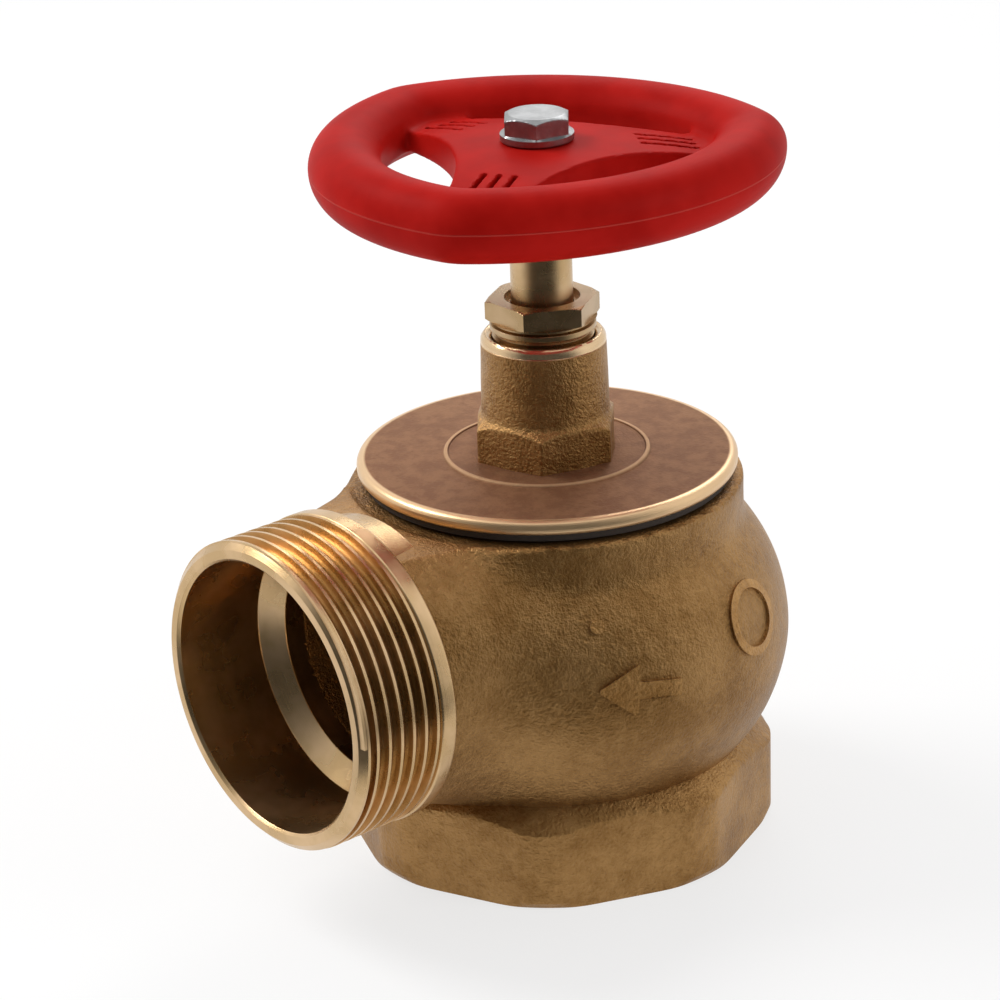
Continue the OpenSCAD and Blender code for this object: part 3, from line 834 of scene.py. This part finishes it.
# Gland nut: turned brass hexagon with chamfered corners; its threaded shank goes into the
# neck and squeezes the packing, and a groove in its bore holds a rubber ring.
nut_flats, nut_z, nut_top, nut_blank_r = 17.6, 95.7, 99.3, 10.5
nut_bore_r, nut_groove_r, nut_groove_depth = 5.55, 6.6, 1.1
nut_outline = eased([
    (nut_bore_r, 90), (8.8, 90, 0.3), (8.95, 92.6), (8.2, 92.9, 0.15), (8.2, 93.6, 0.15),
    (9.3, 93.8, 0.2), (9.3, 94.8, 0.2), (8.5, 95.0, 0.15), (8.5, nut_z), (9.5, nut_z, 0.1),
    (nut_blank_r, nut_z + 0.35), (nut_blank_r, nut_top - 0.45), (9.35, nut_top, 0.1),
    (nut_groove_r, nut_top, 0.1), (nut_groove_r, nut_top - nut_groove_depth),
    (nut_bore_r, nut_top - nut_groove_depth)])
# The gland nut has painted shade: its turned brass colours are scaled by 0.72.
nut_brass = machined_brass("gland_nut_brass", upright, light=0.72)


def hexed(mesh, above, across, first_corner):
    """Cuts the part of a turned mesh that lies above a height down to a hexagon."""
    spots = np.array([v.co for v in mesh.vertices]) / MM
    r = np.hypot(spots[:, 0], spots[:, 1])
    side = flats(across, 6, first_corner)(np.arctan2(spots[:, 1], spots[:, 0]))
    cut = np.where((spots[:, 2] > above) & (r > 1), blend(r, side, 0.12), r)
    spots[:, :2] *= (cut / np.maximum(r, 0.01))[:, None]
    mesh.vertices.foreach_set("co", (spots * MM).ravel())


nut_mesh = turned("gland_nut_turned", nut_outline, fine=0.35)
hexed(nut_mesh, nut_z, nut_flats, 0)
nut = add_piece(nut_mesh, "valve", nut_brass, 25, ["gland_nut"])

# Spindle: polished brass bar with the lifting thread below and a button at its foot that
# turns in the disc's holder; its square end, inside the wheel's bush, drives it.
stem_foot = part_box("stem")[0].z / MM
stem_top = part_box("stem")[1].z / MM
stem_r, square_z, square_half = 5.4, 117, 4.0
button_r, waist_r, thread_r, bolt_hole_r = 7.4, 4.9, 5.9, 3
lift_core, lift_ridge, lift_pitch, lift_turns, lift_start = 5.7, 1.2, 4.0, 4.9, 41.6
spindle_outline = eased([
    (0, stem_foot), (button_r, stem_foot, 0.6), (button_r, 35.8, 0.1), (waist_r, 35.8, 0.1),
    (waist_r, 38.2, 0.1), (button_r, 38.2, 0.1), (button_r, 40.1, 0.2), (thread_r, 40.6),
    (thread_r, 62.6), (stem_r, 63.2), (stem_r, square_z), (stem_r, stem_top, 0.3),
    (bolt_hole_r, stem_top), (bolt_hole_r, 111), (0, 110)])
spindle_mesh = turned("spindle", spindle_outline, 240, fine=2.0)
spots = np.array([v.co for v in spindle_mesh.vertices])
squared = spots[:, 2] > (square_z + 0.01) * MM
spots[squared, :2] = np.clip(spots[squared, :2], -square_half * MM, square_half * MM)
spindle_mesh.vertices.foreach_set("co", spots.ravel())
# The spindle has painted shade: its turned brass colours are scaled by 0.9.
spindle_brass = machined_brass("spindle_brass", upright, light=0.9, fine_lines=0.00012)
add_piece(spindle_mesh, "spindle", spindle_brass, 30, ["stem"])
add_piece(thread_mesh("lifting_thread", lift_core, lift_ridge, lift_pitch, lift_turns, spindle_brass,
                      Matrix.Translation((0, 0, lift_start * MM))),
          "spindle", spindle_brass, 30)


# Inner pieces that the cover and the body hide or half hide: gasket, gland follower,
# packing, rubber rings, the valve disc and its fixings keep their CAD shapes.
def soft_finish(name, lump, detail, rough, dark, pale, least_rough, more_rough, depth):
    """Fibre, rubber or packing: one fine mottle for its colour, its gloss and its relief."""
    soft = Finish(name)
    mottle = soft.noise(soft.where(), lump, detail, rough)
    return soft.surface(Base_Color=soft.mixed(mottle, dark, pale), Normal=soft.raised(mottle, depth),
                        Roughness=least_rough + more_rough * mottle)


def zinc_plate(name):
    """Bright zinc on steel: pale grey with faint spangle and small scuffs."""
    scuffed_grey, bright_grey = (0.25, 0.252, 0.255), (0.36, 0.363, 0.366)
    zinc = Finish(name)
    place = zinc.where()
    spangle = zinc.noise(place, 0.0011, 3, 0.65)
    scuffs = zinc.noise(place, 0.0045, 4, 0.7)
    colour = zinc.mixed(scuffs.between(0.35, 0.7), scuffed_grey, bright_grey)
    return zinc.surface(Base_Color=colour, Metallic=1.0, Roughness=0.22 + 0.22 * spangle,
                        Normal=zinc.raised(spangle, 0.00003))


gasket_fibre = soft_finish(
    "gasket_fibre", lump=0.0008, detail=3, rough=0.7, dark=(0.02, 0.015, 0.012),
    pale=(0.06, 0.045, 0.035), least_rough=0.75, more_rough=0.2, depth=0.00005)
nitrile_rubber = soft_finish(
    "nitrile_rubber", lump=0.0015, detail=3, rough=0.6, dark=(0.012, 0.012, 0.013),
    pale=(0.05, 0.05, 0.05), least_rough=0.5, more_rough=0.3, depth=0.00004)
packing_white = soft_finish(
    "packing_white", lump=0.0005, detail=2, rough=0.6, dark=(0.70, 0.70, 0.67),
    pale=(0.84, 0.84, 0.81), least_rough=0.4, more_rough=0.2, depth=0.00003)
# The hidden inner brass pieces have painted shade: their turned brass colours are scaled by 0.8.
inner_brass = machined_brass("inner_brass", upright, light=0.8)
zinc_finish = zinc_plate("zinc_plate")
for finish, nodes in (
        (gasket_fibre, ["bonnet_gasket"]),
        (inner_brass, ["gland_follower", "packing_washer", "disc_holder", "thrust_washer"]),
        (nitrile_rubber, ["stem_o_ring", "disc_seal"]),
        (packing_white, ["packing_ring_1", "packing_ring_2", "packing_ring_3"]),
        (zinc_finish, ["seal_washer", "seal_nut", "stem_clip", "wheel_insert"])):
    for node in nodes:
        frame["nodes"][node].data.materials[0] = finish

# Handwheel: one moulding in satin red plastic. Three arcs meet at its lobes in a faint
# crease; a bowl-like slope leads inwards, and three spokes with three slots each carry the hub.
wheel_side, wheel_lobe, wheel_turn = 39.1, 4.3, math.radians(-2)
rim_in, rim_out, rim_up, rim_down, rim_mean, parting_z = 7.0, 5.8, 5.8, 6.3, 5.5, 123.5
plate_low, hub_top, plate_edge, plate_fall, fall_r = 120.6, 127.3, 7, 2.5, 25
window_arc, window_in, window_out = 46.0, 14.5, 12.5
slot_from, slot_to, slot_step, slot_half, slot_depth = 17.3, 27.5, 2.7, 0.45, 1.8
hub_r, hub_low, hub_high = 12.3, 116.5, 121.5
wheel_bores = ((3.3, 110, 140), (7.5, 110, 125.6))
side_shift = ((wheel_side + wheel_lobe) ** 2 - wheel_side ** 2) / (wheel_side - wheel_lobe)
wheel_ways = [wheel_turn + third * 2 * math.pi / 3 for third in range(3)]


def wheel_outline(a):
    """Radius of the wheel's edge at each angle: three arcs, with the lobes where they meet."""
    sides = [np.sqrt((wheel_side + side_shift) ** 2 - (side_shift * np.sin(a - way)) ** 2)
             - side_shift * np.cos(a - way) for way in wheel_ways]
    sides = np.sort(np.stack(np.broadcast_arrays(*sides)), 0)
    return blend(sides[0], sides[1], 0.8)


def wheel_field(x, y, z):
    """The wheel in millimetres: rim and plate, less windows and slots, with hub and bores."""
    r = np.hypot(x, y)
    out = wheel_outline(np.arctan2(y, x))
    across, up = r - out + rim_out, z - parting_z
    rim = np.hypot(across / np.where(across > 0, rim_out, rim_in),
                   up / np.where(up > 0, rim_up, rim_down))
    plate_top = hub_top - plate_fall * np.clip(r / fall_r, 0.25, 1.08) ** 2
    plate = np.maximum(np.maximum(z - plate_top, plate_low - z), r - out + plate_edge)
    whole = blend((rim - 1) * rim_mean, plate, 1.2)
    for way in wheel_ways:
        u, v = x * np.cos(way) + y * np.sin(way), y * np.cos(way) - x * np.sin(way)
        arc = window_arc - np.hypot(u - window_in - window_arc, v)
        whole = carve(whole, -blend(arc, out - window_out - r, 1.6), 0.45)
        along = np.abs(-u - (slot_from + slot_to) / 2) - (slot_to - slot_from) / 2
        for row in (-1, 0, 1):
            slot = np.maximum(np.abs(-v - row * slot_step) - slot_half, along)
            whole = carve(whole, np.maximum(slot, plate_top - slot_depth - z), 0.25)
    whole = blend(whole, drum(r, z, hub_r, hub_low, hub_high), 1.0)
    return np.maximum(whole, -np.minimum.reduce([drum(r, z, *bore) for bore in wheel_bores]))


deep_red, worn_red, seam_highlight_pink = (0.36, 0.0055, 0.0035), (0.46, 0.010, 0.007), (0.60, 0.09, 0.07)
red = Finish("red_plastic")
spot = red.where()
across, height = upright(*red.parts(spot))
mottle = red.noise(spot, 0.014, 3, 0.6)
fine_grain = red.noise(spot, 0.0006, 2, 0.5)
off_line = (height - parting_z * MM).maths("ABSOLUTE")
parting = (1 - off_line.between(0.00006, 0.0002)) * across.between(0.035, 0.036)
colour = red.mixed(mottle.between(0.3, 0.7), deep_red, worn_red)
# The parting line is a real ridge in the bump; its pale pink colour mixed into the red is a painted
# highlight.
colour = red.mixed(parting * 0.4, colour, seam_highlight_pink)
wheel_finish = red.surface(Base_Color=colour, Roughness=0.42 + 0.12 * mottle, Specular_IOR_Level=0.025,
                           Normal=red.raised(parting + 0.12 * fine_grain, 0.00008))
wheel_mesh = skin_mesh("handwheel_moulding", wheel_field, (-46, -46, 115.6), (46, 46, 130.4), 0.45)
wheel = add_piece(wheel_mesh, "spindle", wheel_finish, 45, ["handwheel"])

# Wheel bolt: zinc-plated flanged hexagon bolt that holds the wheel on the spindle's end;
# its head is left plain.
bolt_flats, bolt_turn, bolt_blank_r, bolt_shank_r, bolt_length = 10.8, -42, 6.34, 3, 15
flange_r, flange_h, head_h = 6.35, 1.2, 3.5
head_z = hub_top + flange_h
head_top = head_z + head_h
bolt_outline = eased([
    (0, head_top), (4.9, head_top, 0.2), (bolt_blank_r, head_top - 0.75), (bolt_blank_r, head_z, 0.35),
    (flange_r, hub_top, 0.3), (bolt_shank_r, hub_top), (bolt_shank_r, hub_top - bolt_length + 0.4),
    (0, hub_top - bolt_length)])
head = turned("wheel_bolt_zinc", bolt_outline, fine=0.3)
hexed(head, head_z + 0.02, bolt_flats, bolt_turn)
bolt = add_piece(head, "spindle", zinc_finish, 25, ["wheel_bolt"])


# Likeness: how far each named edge and mark shows from where the photograph has it,
# from the boxes of the finished pieces.
def seen_at(place):
    """Pixel at which the camera sees a place given in metres."""
    away = Vector(place) - eye
    depth = away.dot(forward)
    return (IMAGE_SIZE / 2 + LENS_PX * away.dot(view_right) / depth,
            IMAGE_SIZE / 2 - LENS_PX * away.dot(view_up) / depth)


def seen_box(piece, where=lambda place: True):
    """Box of pixels round those vertices of a piece that stand where the test says."""
    spots = [seen_at(v.co) for v in piece.data.vertices if where(v.co)]
    return (min(p[0] for p in spots), max(p[0] for p in spots),
            min(p[1] for p in spots), max(p[1] for p in spots))


def middle_of(box):
    return (box[0] + box[1]) / 2, (box[2] + box[3]) / 2


def on_band(place):
    return -(outlet_reach - band_near) * MM < place.y < -(outlet_reach - band_far) * MM


whole = [seen_box(piece) for piece in (body, socket, mouth, wheel, bolt, cover)]
wheel_seen, nut_seen, outlet_seen = seen_box(wheel), seen_box(nut), seen_box(mouth)
cover_seen = seen_box(cover, lambda place: place.z > cover_z * MM)
rear_of_band = seen_box(mouth, on_band)
shown = {
    "object_left": (min(b[0] for b in whole), None), "object_right": (max(b[1] for b in whole), None),
    "object_top": (None, min(b[2] for b in whole)), "object_bottom": (None, max(b[3] for b in whole)),
    "wheel_left": (wheel_seen[0], None), "wheel_right": (wheel_seen[1], None),
    "bolt_top": (None, seen_box(bolt)[2]),
    "gland_nut_left": (nut_seen[0], None), "gland_nut_right": (nut_seen[1], None),
    "cover_left": (cover_seen[0], None), "cover_right": (cover_seen[1], None),
    "outlet_right": (rear_of_band[1], None), "outlet_bottom": (None, outlet_seen[3]),
    "flow_arrow": middle_of(seen_box(flow_arrow)), "ring_mark": middle_of(seen_box(ring_mark)),
    "dot_mark": middle_of(seen_box(dot_mark)),
}
({name: [None if point[k] is None or shown[name][k] is None else round(shown[name][k] - point[k], 1)
                  for k in (0, 1)] for name, point in points.items() if name in shown})
